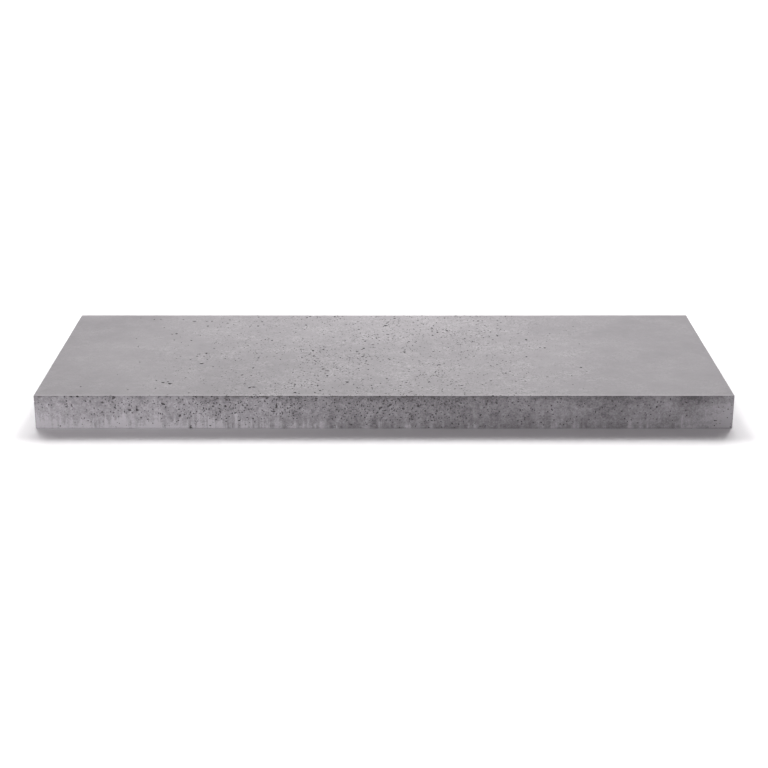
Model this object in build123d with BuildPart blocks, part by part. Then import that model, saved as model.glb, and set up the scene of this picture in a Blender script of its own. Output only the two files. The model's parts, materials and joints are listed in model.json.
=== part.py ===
"""Concrete paving slab, cast in one piece.

A long flat slab of dense grey concrete for terraces, paths and copings. It lies flat, with its
smooth wearing face up. All sizes are in millimetres.

Frame: +X runs along the length, +Y across the width, +Z up. The origin is the middle of the bed
face, which is the face that lies on the sand or mortar.
"""

from build123d import *
import os

# Driving dimensions
SLAB_LENGTH = 1000.0  # along X
SLAB_WIDTH = 400.0  # along Y
SLAB_THICKNESS = 50.0  # along Z

CORNER_RADIUS = 2.0  # the four upright corners, rounded by the mould
WEARING_ARRIS = 1.0  # rounding where the wearing face meets the sides
BED_ARRIS = 0.5  # smaller rounding where the bed face meets the sides

# The slab: a block with rounded upright corners, and an eased arris round each of its broad faces
with BuildPart() as slab:
    with BuildSketch(Plane.XY):
        RectangleRounded(SLAB_LENGTH, SLAB_WIDTH, CORNER_RADIUS)
    extrude(amount=SLAB_THICKNESS)

    broad_faces = slab.faces().filter_by(Axis.Z).sort_by(Axis.Z)
    bed_face = broad_faces[0]
    wearing_face = broad_faces[-1]
    fillet(wearing_face.edges(), radius=WEARING_ARRIS)
    fillet(bed_face.edges(), radius=BED_ARRIS)

slab.part.label = "slab"

# The finished piece, in a STEP file of its own name
os.makedirs("parts", exist_ok=True)
export_step(slab.part, "parts/slab.step")
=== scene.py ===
"""A concrete paving slab, cast in one piece, lying on a pale studio floor.

The file follows the slab as it is made. First comes the studio it stands in, then the block that
the mould gives, the air pockets and chips in its skin, and the concrete of each of its faces.
"""

import json
import math
import random

import bmesh
import bpy
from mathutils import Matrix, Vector, noise

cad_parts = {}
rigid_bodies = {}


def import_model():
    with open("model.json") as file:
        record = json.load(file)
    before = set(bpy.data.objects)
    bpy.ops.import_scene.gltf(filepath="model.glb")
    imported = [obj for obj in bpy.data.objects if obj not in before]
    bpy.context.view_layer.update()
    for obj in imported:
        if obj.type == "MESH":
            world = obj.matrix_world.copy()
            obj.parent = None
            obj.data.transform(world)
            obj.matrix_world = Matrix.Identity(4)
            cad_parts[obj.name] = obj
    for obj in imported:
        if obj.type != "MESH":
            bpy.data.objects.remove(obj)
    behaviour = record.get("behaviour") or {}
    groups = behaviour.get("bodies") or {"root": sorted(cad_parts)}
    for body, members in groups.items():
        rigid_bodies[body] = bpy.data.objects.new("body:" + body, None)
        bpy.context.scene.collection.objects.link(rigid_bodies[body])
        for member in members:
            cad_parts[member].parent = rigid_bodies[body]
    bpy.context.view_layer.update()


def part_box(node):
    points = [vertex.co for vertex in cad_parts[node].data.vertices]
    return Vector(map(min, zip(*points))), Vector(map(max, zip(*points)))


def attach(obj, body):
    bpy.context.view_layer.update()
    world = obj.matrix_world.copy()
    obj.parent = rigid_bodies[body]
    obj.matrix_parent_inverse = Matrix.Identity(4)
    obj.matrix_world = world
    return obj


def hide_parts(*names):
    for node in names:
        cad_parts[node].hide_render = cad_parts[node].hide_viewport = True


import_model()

# ---------------------------------------------------------------------------------------------
# The studio: a white floor, a bank of soft keys from behind and above, an even white surround, and
# small soft lamps over the slab and low in front. The camera looks down on the slab's front.
# ---------------------------------------------------------------------------------------------
slab_low, slab_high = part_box("slab")
slab_size = slab_high - slab_low
slab_middle = (slab_low + slab_high) / 2

CAMERA_IN_FRONT = 2.202  # from the front side
CAMERA_ABOVE = 0.782  # over the wearing face
CAMERA_DOWN = math.radians(19.14)
CAMERA_LENS_MM = 76.88
CAMERA_SENSOR_MM = 36
CAMERA_REACH = 200  # how far it sees

bpy.ops.object.select_all(action="DESELECT")
bpy.ops.object.camera_add(
    location=(slab_middle.x, slab_low.y - CAMERA_IN_FRONT, slab_high.z + CAMERA_ABOVE),
    rotation=(math.radians(90) - CAMERA_DOWN, 0, 0),
)
camera = bpy.context.object
camera.name = "camera"
camera.data.sensor_width = CAMERA_SENSOR_MM
camera.data.lens = CAMERA_LENS_MM
camera.data.clip_end = CAMERA_REACH
bpy.context.scene.camera = camera
bpy.context.scene.view_settings.view_transform = "Standard"

FLOOR_SIZE = 120.0  # wide enough to have no edge in a low view
KEY_SPREAD = math.radians(13)
KEYS = (  # soft keys behind the slab: degrees to each side, degrees above the floor, strength
    (0, 33.0, 0.50),
    (0, 42.5, 0.60),
    (20, 33.0, 0.74),
    (20, 42.5, 0.73),
    (40, 42.5, 0.38),
    (40, 52.0, 0.10),
)
SURROUND_STRENGTH = 0.15
SURROUND_TINT = "#FFF6FD"
LAMPS = (  # name, width and height, place, aim, watts
    ("over_lamp", (0.40, 0.30), Vector((0.01, 0.32, 0.50)), Vector((0.01, 0.05, 0.05)), 1.55),
    ("left_lamp", (0.60, 0.08), Vector((-0.55, -0.95, 0.05)), Vector((-0.35, -0.20, 0.03)), 5.2),
    ("front_lamp", (1.60, 0.08), Vector((0.10, -1.10, 0.05)), Vector((0.10, -0.20, 0.03)), 4.5),
)


def srgb(hex_code):
    """A colour written as an sRGB hex code, as the linear RGBA that the shaders take."""
    levels = [int(hex_code[at : at + 2], 16) / 255 for at in (1, 3, 5)]
    linear = [v / 12.92 if v <= 0.04045 else ((v + 0.055) / 1.055) ** 2.4 for v in levels]
    return (*linear, 1.0)


bpy.ops.mesh.primitive_plane_add(size=FLOOR_SIZE, location=(0, 0, slab_low.z))
floor = bpy.context.object
floor.name = "floor"
paper = bpy.data.materials.new("white_paper")
paper.use_nodes = True
paper_shader = paper.node_tree.nodes["Principled BSDF"]
paper_shader.inputs["Base Color"].default_value = srgb("#FBFAFB")
paper_shader.inputs["Roughness"].default_value = 1.0
paper_shader.inputs["Specular IOR Level"].default_value = 0.0
floor.data.materials.append(paper)

for aside, above, strength in KEYS:
    for turn in sorted({aside, -aside}):
        bpy.ops.object.light_add(
            type="SUN",
            rotation=(math.radians(above - 90), 0, math.radians(turn)),
        )
        key = bpy.context.object
        key.name = "key"
        key.data.energy = strength
        key.data.angle = KEY_SPREAD

for name, size, place, aim, watts in LAMPS:
    bpy.ops.object.light_add(type="AREA", location=place)
    lamp = bpy.context.object
    lamp.name = name
    lamp.rotation_euler = (aim - place).to_track_quat("-Z", "Y").to_euler()
    lamp.data.shape = "RECTANGLE"
    lamp.data.size, lamp.data.size_y = size
    lamp.data.energy = watts
    lamp.visible_camera = False

surround = bpy.data.worlds.new("surround")
surround.use_nodes = True
surround_shader = surround.node_tree.nodes["Background"]
surround_shader.inputs["Color"].default_value = srgb(SURROUND_TINT)
surround_shader.inputs["Strength"].default_value = SURROUND_STRENGTH
bpy.context.scene.world = surround

# ---------------------------------------------------------------------------------------------
# The block: wet concrete poured in a flat steel mould and vibrated, one solid all through. The
# mould rounds its corners and arrises a little, and the faces come out almost flat.
# ---------------------------------------------------------------------------------------------
CELL = 0.010  # mesh spacing on the faces
CORNER_RADIUS = 0.002
WEARING_ARRIS = 0.0010
BED_ARRIS = 0.0005
WAVE_LENGTH = 0.09  # from crest to crest of the faces' unevenness
WAVE_DEPTH = 0.0004
FACING = 0.9  # how nearly a face has to look one way, where 1 is exactly

layers = round(slab_size.z / CELL)

bpy.ops.object.select_all(action="DESELECT")
bpy.ops.mesh.primitive_grid_add(
    x_subdivisions=round(slab_size.x / CELL),
    y_subdivisions=round(slab_size.y / CELL),
    size=1,
    location=(slab_middle.x, slab_middle.y, slab_low.z),
)
slab = bpy.context.object
slab.name = "cast_slab"
slab.scale = (slab_size.x, slab_size.y, 1)
bpy.ops.object.transform_apply(location=True, rotation=False, scale=True)

bpy.ops.object.mode_set(mode="EDIT")
for layer in range(layers):
    rise = (0, 0, slab_size.z / layers)
    bpy.ops.mesh.extrude_region_move(TRANSFORM_OT_translate={"value": rise})
bpy.ops.mesh.select_all(action="SELECT")
bpy.ops.mesh.normals_make_consistent(inside=False)


def looks_along(normal):
    """Whether a face is an end of the slab."""
    return abs(normal.x) > FACING


def looks_across(normal):
    """Whether a face is on a long side of the slab."""
    return abs(normal.y) > FACING


def looks_up(normal):
    """Whether a face is on the wearing face."""
    return normal.z > FACING


def looks_down(normal):
    """Whether a face is on the bed face."""
    return normal.z < -FACING


def looks_sideways(normal):
    """Whether a face is on any of the four sides."""
    return abs(normal.z) < 1 - FACING


def round_edges(piece, this_way, that_way, radius, segments):
    """Bevels each edge between a face that looks this way and one that looks that way."""
    bpy.ops.mesh.select_mode(type="EDGE")
    bpy.ops.mesh.select_all(action="DESELECT")
    shape = bmesh.from_edit_mesh(piece.data)
    for edge in shape.edges:
        one, other = (face.normal for face in edge.link_faces)
        if (this_way(one) and that_way(other)) or (this_way(other) and that_way(one)):
            edge.select_set(True)
    bmesh.update_edit_mesh(piece.data)
    bpy.ops.mesh.bevel(offset=radius, segments=segments, affect="EDGES", clamp_overlap=True)


round_edges(slab, looks_along, looks_across, CORNER_RADIUS, 3)
round_edges(slab, looks_up, looks_sideways, WEARING_ARRIS, 3)
round_edges(slab, looks_down, looks_sideways, BED_ARRIS, 2)
bpy.ops.object.mode_set(mode="OBJECT")

unevenness = bpy.data.textures.new("unevenness", "CLOUDS")
unevenness.noise_scale = WAVE_LENGTH
unevenness.noise_depth = 2
waves = slab.modifiers.new("waves", "DISPLACE")
waves.texture = unevenness
waves.texture_coords = "LOCAL"
waves.strength = WAVE_DEPTH
waves.mid_level = 1.0  # only inwards, so that the slab doesn't grow
bpy.ops.object.modifier_apply(modifier="waves")


def from_lowest(face):
    """The numbers of a face's corners, in their order round it, from the lowest number."""
    corners = list(face.vertices)
    first = corners.index(min(corners))
    return corners[first:] + corners[:first]


# Extruding leaves the faces in a different order each time. They are put in one fixed order, so
# that the bubbles fall in the same places every time.
block = bpy.data.meshes.new("block")
faces = sorted(from_lowest(face) for face in slab.data.polygons)
block.from_pydata([vertex.co for vertex in slab.data.vertices], [], faces)
slab.data = block

wearing_concrete = bpy.data.materials.new("wearing_concrete")
side_concrete = bpy.data.materials.new("side_concrete")
bed_concrete = bpy.data.materials.new("bed_concrete")
pore_concrete = bpy.data.materials.new("pore_concrete")
broken_concrete = bpy.data.materials.new("broken_concrete")
for material in (wearing_concrete, side_concrete, bed_concrete):
    slab.data.materials.append(material)
for face in slab.data.polygons:
    if looks_up(face.normal):
        face.material_index = 0
    elif looks_down(face.normal):
        face.material_index = 2
    else:
        face.material_index = 1

# ---------------------------------------------------------------------------------------------
# The air pockets: bubbles that were caught against the mould, left as open pits 1 to 4 mm wide,
# round or long. The sides hold many, and few at their foot. The wearing face has its in the middle.
# ---------------------------------------------------------------------------------------------
AIR_POCKETS = (  # spacing, most to the square metre, smallest and largest width, facets
    ("large", 0.0058, 2700, 0.0029, 0.0045, (8, 6)),
    ("middling", 0.0034, 19000, 0.0019, 0.0029, (6, 4)),
    ("small", 0.0023, 33000, 0.0012, 0.0019, (5, 4)),
)
BUBBLES = (  # length, breadth and depth, and how far a bubble's middle lies out of the skin
    (1.00, 1.00, 1.05, 0.04),
    (1.14, 0.95, 0.90, 0.12),
    (1.28, 0.90, 1.05, 0.08),
    (1.42, 0.85, 0.90, 0.16),
    (1.56, 0.80, 1.05, 0.04),
    (1.70, 0.75, 0.90, 0.10),
)
LUMPINESS = 0.07  # of a bubble's width
WIDE_PATCHES = 14  # to the metre, in which the bubbles crowd
SMALL_PATCHES = 45
WEARING_SHARE = 0.33  # of the most, where the wearing face's bubbles crowd
WEARING_MIDDLE = 0.005
WEARING_REACH = 0.155
LEFT_SHARE = 0.3  # a second, thinner crowd lies to the left of the wearing face's middle
LEFT_MIDDLE = -0.27
LEFT_REACH = 0.06
BED_SHARE = 0.02
END_SHARE = 0.4
FRONT_MIDDLE = -0.13  # where along the front side the bubbles are thickest
BACK_MIDDLE = 0.12
SIDE_REACH = 0.22
SIDE_LEAST = 0.09
CLOSED_CORNER = 0.06  # how far from a corner the long sides have a closed skin
FOOT = 0.1  # the foot of a side, as a share of its height, has few bubbles
FOOT_LEAST = 0.12
FOOT_RISE = 1.7


def add_node(tree, kind, inputs, out=0, **settings):
    """Adds a node with its settings, sets or links each of its inputs, and returns one output."""
    added = tree.nodes.new(kind)
    for name, value in settings.items():
        setattr(added, name, value)
    for name, value in inputs.items():
        if isinstance(value, bpy.types.NodeSocket):
            tree.links.new(value, added.inputs[name])
        else:
            added.inputs[name].default_value = value
    return added.outputs[out] if len(added.outputs) else None


def hump(distance, spread, steep=2):
    """1 at the middle of something, falling away to 0 on both sides."""
    return math.exp(-0.5 * abs(distance / spread) ** steep)


def airiness(place, normal):
    """How thickly bubbles lie at a place on the skin, from 0 to 1."""
    wide = 0.8 * noise.noise(place * WIDE_PATCHES)
    small = 1.1 * noise.noise(place * SMALL_PATCHES)
    patch = max(0.0, 0.7 + wide + small)
    if looks_up(normal):
        middle_crowd = hump(place.x - WEARING_MIDDLE, WEARING_REACH, 3)
        left_crowd = LEFT_SHARE * hump(place.x - LEFT_MIDDLE, LEFT_REACH)
        return WEARING_SHARE * patch * (middle_crowd + left_crowd)
    if looks_down(normal):
        return BED_SHARE
    height = (place.z - slab_low.z) / slab_size.z
    foot = min(1.0, FOOT_LEAST + FOOT_RISE * max(0.0, height - FOOT))
    if abs(normal.x) > 0.5:
        return END_SHARE * patch * foot
    middle = FRONT_MIDDLE if normal.y < 0 else BACK_MIDDLE
    ends = 1.0 - 0.8 * hump(abs(place.x) - slab_high.x, CLOSED_CORNER)
    crowd = SIDE_LEAST + (1.0 - SIDE_LEAST) * hump(place.x - middle, SIDE_REACH)
    return patch * foot * ends * crowd


def bubble_shapes(name, facets, material):
    """Lumpy bubbles one unit wide, round and long, deep and shallow, to be copied at every size."""
    shapes = bpy.data.collections.new(name)
    for shape, (length, breadth, depth, proud) in enumerate(BUBBLES):
        segments, rings = facets
        bpy.ops.mesh.primitive_uv_sphere_add(segments=segments, ring_count=rings, radius=0.5)
        bubble = bpy.context.object
        bubble.name = f"{name}_bubble_{shape}"
        bpy.ops.object.mode_set(mode="EDIT")
        bpy.ops.mesh.select_all(action="SELECT")
        bpy.ops.transform.vertex_random(offset=LUMPINESS, seed=shape)
        bpy.ops.transform.resize(value=(length, breadth, depth))
        bpy.ops.transform.translate(value=(0, 0, proud))
        bpy.ops.object.mode_set(mode="OBJECT")
        bubble.data.materials.append(material)
        bubble.users_collection[0].objects.unlink(bubble)
        shapes.objects.link(bubble)
    return shapes


# The skin: a copy of the block while it is whole. It holds how thickly bubbles lie at each place,
# and every size of bubble is spread over it.
skin = slab.copy()
skin.data = slab.data.copy()
skin.name = "skin"
bpy.context.scene.collection.objects.link(skin)
airy = skin.data.attributes.new("airiness", "FLOAT", "POINT")
for vertex in skin.data.vertices:
    airy.data[vertex.index].value = airiness(vertex.co, vertex.normal)


def scatter(name, shapes, spacing, most, smallest, largest, seed):
    """The bubbles of one size, spread over the skin as one mesh."""
    tree = bpy.data.node_groups.new(name, "GeometryNodeTree")
    tree.interface.new_socket("Geometry", in_out="INPUT", socket_type="NodeSocketGeometry")
    tree.interface.new_socket("Geometry", in_out="OUTPUT", socket_type="NodeSocketGeometry")
    surface = add_node(tree, "NodeGroupInput", {})
    share = add_node(
        tree, "GeometryNodeInputNamedAttribute", {"Name": "airiness"}, data_type="FLOAT"
    )
    spots = add_node(
        tree,
        "GeometryNodeDistributePointsOnFaces",
        {
            "Mesh": surface,
            "Distance Min": spacing,
            "Density Max": most,
            "Density Factor": share,
            "Seed": seed,
        },
        distribute_method="POISSON",
    )
    turn = add_node(
        tree,
        "FunctionNodeRandomValue",
        {0: (0, 0, 0), 1: (0, 0, math.tau), "Seed": seed + 1},
        data_type="FLOAT_VECTOR",
    )
    turned = add_node(
        tree,
        "FunctionNodeRotateRotation",
        {"Rotation": spots.node.outputs["Rotation"], "Rotate By": turn},
        rotation_space="LOCAL",
    )
    width = add_node(
        tree,
        "FunctionNodeRandomValue",
        {2: smallest, 3: largest, "Seed": seed + 2},
        out=1,
        data_type="FLOAT",
    )
    kinds = add_node(
        tree,
        "GeometryNodeCollectionInfo",
        {"Collection": shapes, "Separate Children": True, "Reset Children": True},
    )
    placed = add_node(
        tree,
        "GeometryNodeInstanceOnPoints",
        {
            "Points": spots,
            "Instance": kinds,
            "Pick Instance": True,
            "Rotation": turned,
            "Scale": width,
        },
    )
    real = add_node(tree, "GeometryNodeRealizeInstances", {"Geometry": placed})
    add_node(tree, "NodeGroupOutput", {"Geometry": real})

    spread = skin.copy()
    spread.data = skin.data.copy()
    spread.name = name
    bpy.context.scene.collection.objects.link(spread)
    spread.modifiers.new("scatter", "NODES").node_group = tree
    bpy.context.view_layer.objects.active = spread
    bpy.ops.object.modifier_apply(modifier="scatter")
    return spread


def hollow_out(piece, cutter):
    """Takes the cutter's shape out of the piece, and puts the cutter away."""
    hollow = piece.modifiers.new("hollow", "BOOLEAN")
    hollow.operation = "DIFFERENCE"
    hollow.solver = "MANIFOLD"
    hollow.material_mode = "TRANSFER"
    hollow.object = cutter
    bpy.context.view_layer.objects.active = piece
    bpy.ops.object.modifier_apply(modifier="hollow")
    bpy.data.objects.remove(cutter)


for order, (name, spacing, most, smallest, largest, facets) in enumerate(AIR_POCKETS):
    shapes = bubble_shapes(name, facets, pore_concrete)
    pockets = scatter(name, shapes, spacing, most, smallest, largest, seed=10 * order + 1)
    hollow_out(slab, pockets)
bpy.data.objects.remove(skin)

# ---------------------------------------------------------------------------------------------
# Chipped arrises: the thin edges break here and there as the slab is struck from its mould and
# stacked, which leaves short nicks, most of them along the front of the wearing face.
# ---------------------------------------------------------------------------------------------
STRETCH = 0.020  # one chip at most in each stretch of arris
CHIP_LENGTH = (0.004, 0.013)
CHIP_WIDTH = (0.0022, 0.0036)
FRONT_SHARE = 0.55  # of the stretches that are chipped, at most
OTHER_SHARE = 0.40
CHIPPED_MIDDLE = -0.15  # where along the slab most of them are
CHIPPED_REACH = 0.2
CHIP_OUT = 0.1  # how far a chip's middle lies out of the side and below the edge, in its widths
CHIP_BELOW = 0.4

chance = random.Random(7)
chip_shapes = list(bubble_shapes("chip", (8, 6), broken_concrete).objects)


def chip_arris(start, end, out, share):
    """The chips along one arris, each a long lump that bites into the side just beside it."""
    run = end - start
    stretches = int(run.length / STRETCH)
    broken = []
    for stretch in range(stretches):
        spot = start + run * (stretch + chance.uniform(0.4, 0.6)) / stretches
        length = chance.uniform(*CHIP_LENGTH)
        width = chance.uniform(*CHIP_WIDTH)
        roll = chance.uniform(0, math.tau)
        shape = chance.choice(chip_shapes)
        if chance.random() > share * (0.3 + 0.7 * hump(spot.x - CHIPPED_MIDDLE, CHIPPED_REACH)):
            continue
        chip = shape.copy()
        chip.data = shape.data.copy()
        chip.location = spot + out * width
        chip.rotation_euler = (roll, 0, math.atan2(run.y, run.x))
        chip.scale = (length, width, width)
        bpy.context.scene.collection.objects.link(chip)
        broken.append(chip)
    return broken


def corner(x, y, z):
    """A corner of the slab, each way low (0) or high (1)."""
    return slab_low + Vector((x * slab_size.x, y * slab_size.y, z * slab_size.z))


ARRISES = (  # start, end, the way out of the slab there, and the share that is chipped
    (corner(0, 0, 1), corner(1, 0, 1), Vector((0, -CHIP_OUT, -CHIP_BELOW)), FRONT_SHARE),
    (corner(0, 1, 1), corner(1, 1, 1), Vector((0, CHIP_OUT, -CHIP_BELOW)), OTHER_SHARE),
    (corner(0, 0, 1), corner(0, 1, 1), Vector((-CHIP_OUT, 0, -CHIP_BELOW)), OTHER_SHARE),
    (corner(1, 0, 1), corner(1, 1, 1), Vector((CHIP_OUT, 0, -CHIP_BELOW)), OTHER_SHARE),
)
chips = [chip for arris in ARRISES for chip in chip_arris(*arris)]
bpy.ops.object.select_all(action="DESELECT")
for chip in chips:
    chip.select_set(True)
bpy.context.view_layer.objects.active = chips[0]
bpy.ops.object.join()
hollow_out(slab, chips[0])

# Where the rims of pits meet, a few slivers fold flat onto themselves once the faces are cut into
# triangles. Such a pair of triangles encloses nothing. Blender keeps only one of the two, which
# then has open edges, so that one is taken away as well.
bpy.ops.object.select_all(action="DESELECT")
slab.select_set(True)
bpy.context.view_layer.objects.active = slab
bpy.ops.object.mode_set(mode="EDIT")
bpy.ops.mesh.select_mode(type="FACE")
bpy.ops.mesh.select_all(action="SELECT")
bpy.ops.mesh.quads_convert_to_tris(quad_method="BEAUTY", ngon_method="BEAUTY")
bpy.ops.mesh.select_all(action="DESELECT")
shape = bmesh.from_edit_mesh(slab.data)
for face in shape.faces:
    face.select_set(any(edge.is_boundary for edge in face.edges))
bmesh.update_edit_mesh(slab.data)
bpy.ops.mesh.delete(type="FACE")
bpy.ops.object.mode_set(mode="OBJECT")

# ---------------------------------------------------------------------------------------------
# The concrete: grey cement, fine sand and water. The cement skin dries in soft clouds, the sand
# shows through it as a fine grain, and pinholes too small to model dot it as spots of painted
# shade.
# ---------------------------------------------------------------------------------------------
CLOUD = 0.16  # from one pale cloud in the skin to the next
PATCH = 0.045
MOTTLE = 0.009
GRAIN = 0.0017  # the real sand is 0.5 to 1 mm, drawn coarser so that it shows
PINHOLE_SPACING = 0.0046
PINHOLE_RADIUS = 0.24  # the widest, as a share of the spacing
PINHOLE_SLOPE = 0.06  # how wide its soft rim is, as a share of the spacing
PINHOLE_DEPTH = 5.0  # against the sand's own relief
HIGHLIGHT_RIM = 0.009  # how far in from an arris the painted highlight reaches on the wearing face


def start_concrete(material, roughness):
    """Gives a material the shader of dry cement, and finds the place that its patterns read."""
    material.use_nodes = True
    tree = material.node_tree
    shader = tree.nodes["Principled BSDF"]
    shader.inputs["IOR"].default_value = 1.5
    shader.inputs["Specular IOR Level"].default_value = 0.3
    shader.inputs["Roughness"].default_value = roughness
    place = add_node(tree, "ShaderNodeTexCoord", {}, out="Object")
    return tree, shader, place


def cement_patterns(tree, place):
    """The skin's patterns: drying clouds, patches, mottle, and a tone for each grain of sand."""
    cloud = add_node(
        tree, "ShaderNodeTexNoise", {"Vector": place, "Scale": 1 / CLOUD, "Detail": 3.0}
    )
    patch = add_node(
        tree, "ShaderNodeTexNoise", {"Vector": place, "Scale": 1 / PATCH, "Detail": 3.0}
    )
    mottle = add_node(
        tree,
        "ShaderNodeTexNoise",
        {"Vector": place, "Scale": 1 / MOTTLE, "Detail": 4.0, "Roughness": 0.7},
    )
    grains = add_node(
        tree, "ShaderNodeTexVoronoi", {"Vector": place, "Scale": 1 / GRAIN}, out="Color"
    )
    sand = add_node(tree, "ShaderNodeSeparateColor", {"Color": grains})
    return cloud, patch, mottle, sand


def laid_on(tree, level, *layers):
    """Lays patterns over a level, each with its own strength, and keeps the level's average."""
    for pattern, strength in layers:
        swing = add_node(tree, "ShaderNodeMath", {0: pattern, 1: 0.5}, operation="SUBTRACT")
        level = add_node(
            tree, "ShaderNodeMath", {0: swing, 1: strength, 2: level}, operation="MULTIPLY_ADD"
        )
    return level


def pinholes(tree, place, spread):
    """1 inside pinholes of many sizes, and 0 elsewhere. Spread, 0 to 1, says how wide they get."""
    distance = add_node(
        tree,
        "ShaderNodeTexVoronoi",
        {"Vector": place, "Scale": 1 / PINHOLE_SPACING},
        out="Distance",
    )
    luck = add_node(tree, "ShaderNodeSeparateColor", {"Color": distance.node.outputs["Color"]})
    share = add_node(tree, "ShaderNodeMath", {0: luck, 1: spread}, operation="MULTIPLY")
    radius = add_node(tree, "ShaderNodeMath", {0: share, 1: PINHOLE_RADIUS}, operation="MULTIPLY")
    inside = add_node(tree, "ShaderNodeMath", {0: radius, 1: distance}, operation="SUBTRACT")
    return add_node(
        tree,
        "ShaderNodeMapRange",
        {"Value": inside, "From Min": 0.0, "From Max": PINHOLE_SLOPE},
        interpolation_type="SMOOTHSTEP",
    )


def finish_concrete(tree, shader, level, holes, sand, dark, pale, pinhole_shade, relief):
    """Colours the skin from dark to pale by its level, darkens its pinholes with painted shade, and
    gives relief.
    """
    cement = add_node(
        tree, "ShaderNodeMix", {0: level, 6: srgb(dark), 7: srgb(pale)}, out=2, data_type="RGBA"
    )
    # Painted shade: the pinholes take a darker colour.
    colour = add_node(
        tree, "ShaderNodeMix", {0: holes, 6: cement, 7: srgb(pinhole_shade)}, out=2, data_type="RGBA"
    )
    tree.links.new(colour, shader.inputs["Base Color"])
    height = add_node(
        tree, "ShaderNodeMath", {0: holes, 1: -PINHOLE_DEPTH, 2: sand}, operation="MULTIPLY_ADD"
    )
    normal = add_node(tree, "ShaderNodeBump", {"Height": height, "Distance": relief})
    tree.links.new(normal, shader.inputs["Normal"])


# The wearing face: cast against the mould's bottom plate, so it is the smoothest. Its sand shows
# most in the middle, where the mould was filled, and the ends have a closed, silky cement skin.
OPEN_REACH = 0.46  # how far the open skin reaches along the slab from its middle, and across it
OPEN_ACROSS = 1.2

tree, shader, place = start_concrete(wearing_concrete, 0.82)
cloud, patch, mottle, sand = cement_patterns(tree, place)
oval = add_node(
    tree, "ShaderNodeMapping", {"Vector": place, "Scale": (1 / OPEN_REACH, 1 / OPEN_ACROSS, 0.0)}
)
middle = add_node(
    tree, "ShaderNodeTexGradient", {"Vector": oval}, out="Fac", gradient_type="SPHERICAL"
)
worn = add_node(
    tree,
    "ShaderNodeMapRange",
    {"Value": middle, "From Min": 0.1, "From Max": 0.6, "To Min": 0.3, "To Max": 1.0},
    interpolation_type="SMOOTHSTEP",
)
patchy = add_node(
    tree,
    "ShaderNodeMapRange",
    {"Value": patch, "From Min": 0.38, "From Max": 0.62, "To Min": 0.15, "To Max": 0.85},
)
open_skin = add_node(tree, "ShaderNodeMath", {0: worn, 1: patchy}, operation="MULTIPLY")
sand_swing = laid_on(tree, 0.0, (sand, 0.85), (mottle, 1.4))
sandy = add_node(
    tree, "ShaderNodeMath", {0: sand_swing, 1: open_skin, 2: 0.5}, operation="MULTIPLY_ADD"
)
level = laid_on(tree, sandy, (cloud, 0.5), (patch, 0.4), (mottle, 0.15))
split = add_node(tree, "ShaderNodeSeparateXYZ", {"Vector": place})
off_middle = add_node(tree, "ShaderNodeMath", {0: split.node.outputs["Y"]}, operation="ABSOLUTE")
# A painted highlight: the wearing face is paler within this band of its front and back arrises.
rim = add_node(
    tree,
    "ShaderNodeMapRange",
    {
        "Value": off_middle,
        "From Min": slab_high.y - HIGHLIGHT_RIM,
        "From Max": slab_high.y,
        "To Max": 0.45,
    },
)
level = add_node(tree, "ShaderNodeMath", {0: level, 1: rim}, operation="ADD")
holes = pinholes(tree, place, worn)
finish_concrete(
    tree,
    shader,
    level,
    holes,
    sand,
    dark="#6F6C6F",
    pale="#9A9799",
    pinhole_shade="#545153",
    relief=0.0001,
)

# The sides: cast against the mould's upright walls. Air dragged up the wall leaves the upper part
# open, and cement slurry ran down to the foot, where it dried pale in upright streaks. Their tone
# is partly painted light: paler towards the foot against the shade near the floor, and painted
# shade just under the arris.
STREAK_WIDTH = 0.0045
STREAK_LENGTH = 0.12
RUN_MIDDLE = -0.38  # where along the side most slurry ran down, and how far to each side
RUN_REACH = 0.36
RUN_HEIGHT = 0.34  # how far up the side it stands there, as a share of the height
# The pale spot at the front's right corner is partly painted light, a pool of light on that end.
STAINS_AND_PAINTED_LIGHT = (  # place, reach and strength of the paler and darker spots at the front's corners
    (corner(1, 0, 0.2), 0.070, 0.9),
    (corner(1, 0, 1) - Vector((0.045, 0, 0)), 0.045, -0.5),
    (corner(0, 0, 0.5), 0.050, -0.25),
)

tree, shader, place = start_concrete(side_concrete, 0.9)
cloud, patch, mottle, sand = cement_patterns(tree, place)
split = add_node(tree, "ShaderNodeSeparateXYZ", {"Vector": place})
height = add_node(
    tree,
    "ShaderNodeMapRange",
    {"Value": split.node.outputs["Z"], "From Min": slab_low.z, "From Max": slab_high.z},
)
drawn = add_node(
    tree,
    "ShaderNodeMapping",
    {"Vector": place, "Scale": (1.0, 1.0, STREAK_WIDTH / STREAK_LENGTH)},
)
streaks = add_node(
    tree, "ShaderNodeTexNoise", {"Vector": drawn, "Scale": 1 / STREAK_WIDTH, "Detail": 2.0}
)
off_run = add_node(tree, "ShaderNodeMath", {0: split, 1: RUN_MIDDLE}, operation="SUBTRACT")
far_off = add_node(tree, "ShaderNodeMath", {0: off_run}, operation="ABSOLUTE")
run = add_node(
    tree,
    "ShaderNodeMapRange",
    {
        "Value": far_off,
        "From Min": RUN_REACH,
        "From Max": RUN_REACH / 3,
        "To Min": 0.0,
        "To Max": RUN_HEIGHT,
    },
)
slurry_top = laid_on(tree, run, (streaks, 1.3), (patch, 1.0))
below = add_node(tree, "ShaderNodeMath", {0: slurry_top, 1: height}, operation="SUBTRACT")
slurry = add_node(
    tree,
    "ShaderNodeMapRange",
    {"Value": below, "From Min": -0.1, "From Max": 0.25, "To Max": 0.40},
    interpolation_type="SMOOTHSTEP",
)
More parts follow.
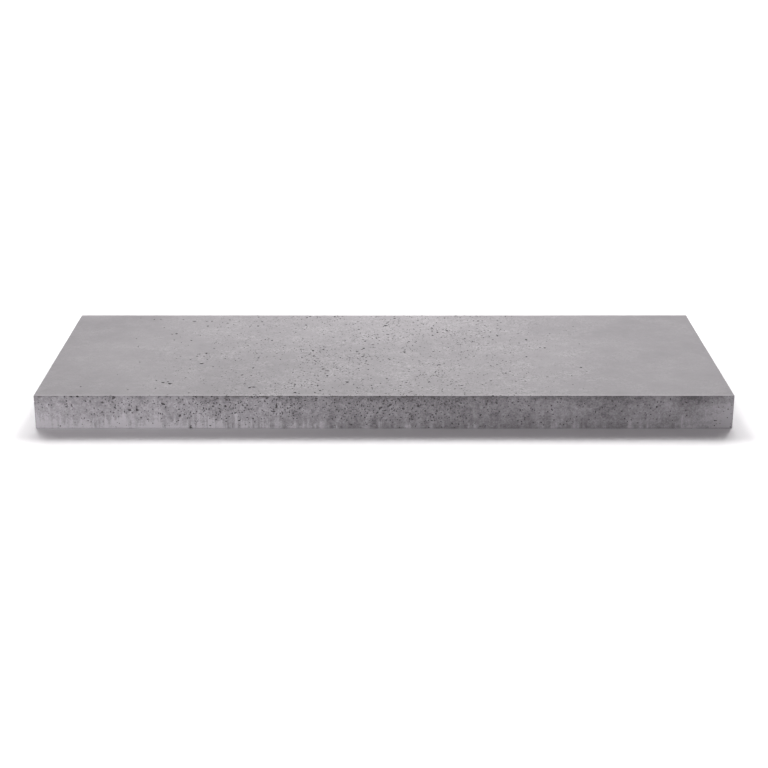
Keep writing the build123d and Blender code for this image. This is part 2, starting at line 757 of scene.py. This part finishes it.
# Painted light: the level rises from the arris to the foot, so the foot is paler against the shade
# near the floor.
level = add_node(
    tree, "ShaderNodeMath", {0: height, 1: -0.22, 2: 0.51}, operation="MULTIPLY_ADD"
)
level = laid_on(
    tree, level, (cloud, 0.5), (patch, 0.8), (mottle, 1.05), (sand, 0.35), (streaks, 0.25)
)
level = add_node(tree, "ShaderNodeMath", {0: level, 1: slurry}, operation="ADD")

TONES = (  # what it follows, where it starts and is full, how much paler or darker, how it grows
    (split, 0.05, -0.45, 0.36, "LINEAR"),  # paler towards the left end, in metres along: partly a paler skin, partly painted light from the left
    (split, 0.20, 0.45, 0.12, "LINEAR"),  # and a little paler towards the right end, partly painted light
    (height, 0.70, 1.0, -0.15, "SMOOTHSTEP"),  # painted shade just under the arris, in shares of the height
    (height, 0.25, 0.0, -0.13, "SMOOTHSTEP"),  # and darker at the foot
)
for follows, start, full, strength, growth in TONES:
    tone = add_node(
        tree,
        "ShaderNodeMapRange",
        {"Value": follows, "From Min": start, "From Max": full, "To Max": strength},
        interpolation_type=growth,
    )
    level = add_node(tree, "ShaderNodeMath", {0: level, 1: tone}, operation="ADD")
# The pale spot is partly painted light; the others darken the skin.
for spot, reach, strength in STAINS_AND_PAINTED_LIGHT:
    off_spot = add_node(
        tree,
        "ShaderNodeMapping",
        {"Vector": place, "Location": -spot / reach, "Scale": [1 / reach] * 3},
    )
    spot_mask = add_node(
        tree, "ShaderNodeTexGradient", {"Vector": off_spot}, out="Fac", gradient_type="SPHERICAL"
    )
    level = add_node(
        tree, "ShaderNodeMath", {0: spot_mask, 1: strength, 2: level}, operation="MULTIPLY_ADD"
    )
open_skin = add_node(tree, "ShaderNodeMath", {0: 1.1, 1: slurry}, operation="SUBTRACT")
holes = pinholes(tree, place, open_skin)
finish_concrete(
    tree,
    shader,
    level,
    holes,
    sand,
    dark="#504D50",
    pale="#908D91",
    pinhole_shade="#343133",
    relief=0.00015,
)

# The bed face: it lay open in the mould. It was struck off level with a board and left rough, so
# it is paler and more mottled than the cast faces.
tree, shader, place = start_concrete(bed_concrete, 0.95)
cloud, patch, mottle, sand = cement_patterns(tree, place)
level = laid_on(tree, 0.5, (cloud, 0.6), (patch, 0.9), (mottle, 0.8), (sand, 0.3))
holes = pinholes(tree, place, patch)
finish_concrete(
    tree,
    shader,
    level,
    holes,
    sand,
    dark="#6F6B6E",
    pale="#9C989B",
    pinhole_shade="#555254",
    relief=0.0004,
)

# The inside of the pits: cement paste coloured much darker than the skin, which is painted shade in
# the hollows. Near the wearing face the pits are darker still, partly dirt and partly painted
# shade.
DIRT_AND_SHADE_DEPTH = 0.003  # below the wearing face, down to which the pits are darkened as dirt and painted shade

tree, shader, place = start_concrete(pore_concrete, 0.95)
paste = add_node(tree, "ShaderNodeTexNoise", {"Vector": place, "Scale": 1 / GRAIN, "Detail": 3.0})
shaded_paste = add_node(
    tree,
    "ShaderNodeMix",
    {0: paste, 6: srgb("#302D2F"), 7: srgb("#575456")},
    out=2,
    data_type="RGBA",
)
split = add_node(tree, "ShaderNodeSeparateXYZ", {"Vector": place})
# Partly dirt, partly painted shade: the pits darken towards near black close to the wearing face.
dirt_and_shade = add_node(
    tree,
    "ShaderNodeMapRange",
    {
        "Value": split.node.outputs["Z"],
        "From Min": slab_high.z - DIRT_AND_SHADE_DEPTH,
        "From Max": slab_high.z - DIRT_AND_SHADE_DEPTH / 2,
        "To Max": 0.9,
    },
)
dirty_and_shaded = add_node(
    tree, "ShaderNodeMix", {0: dirt_and_shade, 6: shaded_paste, 7: srgb("#1C1A1B")}, out=2, data_type="RGBA"
)
tree.links.new(dirty_and_shaded, shader.inputs["Base Color"])

# The broken arrises: the same paste with its sand torn open, a little paler than in the pits; its
# dark colour is painted shade in the nicks.
tree, shader, place = start_concrete(broken_concrete, 0.95)
paste = add_node(tree, "ShaderNodeTexNoise", {"Vector": place, "Scale": 1 / GRAIN, "Detail": 3.0})
shaded_break = add_node(
    tree,
    "ShaderNodeMix",
    {0: paste, 6: srgb("#3E3B3D"), 7: srgb("#6C696B")},
    out=2,
    data_type="RGBA",
)
tree.links.new(shaded_break, shader.inputs["Base Color"])

SHARP = math.radians(35)  # pits keep a crisp rim, and the rounded arrises shade smoothly

bpy.ops.object.shade_smooth_by_angle(angle=SHARP)

# The slab's faces are laid flat side by side, with each pit in its own face, so that a colour map
# of the slab shows every face whole and at one scale.
SHEET_GAP = 0.006
sheet_size = slab_size.x + 2 * SHEET_GAP
long_rows = [SHEET_GAP, slab_size.y + 2 * SHEET_GAP, 2 * slab_size.y + 3 * SHEET_GAP]
long_rows.append(long_rows[2] + slab_size.z + SHEET_GAP)
end_row = long_rows[3] + slab_size.z + SHEET_GAP
FLAT_PLACES = {  # the two axes that each face runs along, and the place of its low corner
    "wearing": (0, 1, SHEET_GAP, long_rows[0]),
    "bed": (0, 1, SHEET_GAP, long_rows[1]),
    "front": (0, 2, SHEET_GAP, long_rows[2]),
    "back": (0, 2, SHEET_GAP, long_rows[3]),
    "left": (1, 2, SHEET_GAP, end_row),
    "right": (1, 2, slab_size.y + 2 * SHEET_GAP, end_row),
}


def nearest_face(place):
    """The face of the block that a place on the slab belongs to."""
    inset = place - slab_low
    left_over = slab_high - place
    depths = {
        "wearing": left_over.z,
        "bed": inset.z,
        "front": inset.y,
        "back": left_over.y,
        "left": inset.x,
        "right": left_over.x,
    }
    return min(depths, key=depths.get)


flat = slab.data.uv_layers.new(name="OFBake")
for face in slab.data.polygons:
    along, up, start_along, start_up = FLAT_PLACES[nearest_face(face.center)]
    for loop in face.loop_indices:
        place = slab.data.vertices[slab.data.loops[loop].vertex_index].co - slab_low
        u = (start_along + place[along]) / sheet_size
        v = (start_up + place[up]) / sheet_size
        flat.data[loop].uv = (u, v)

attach(slab, "root")
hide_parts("slab")
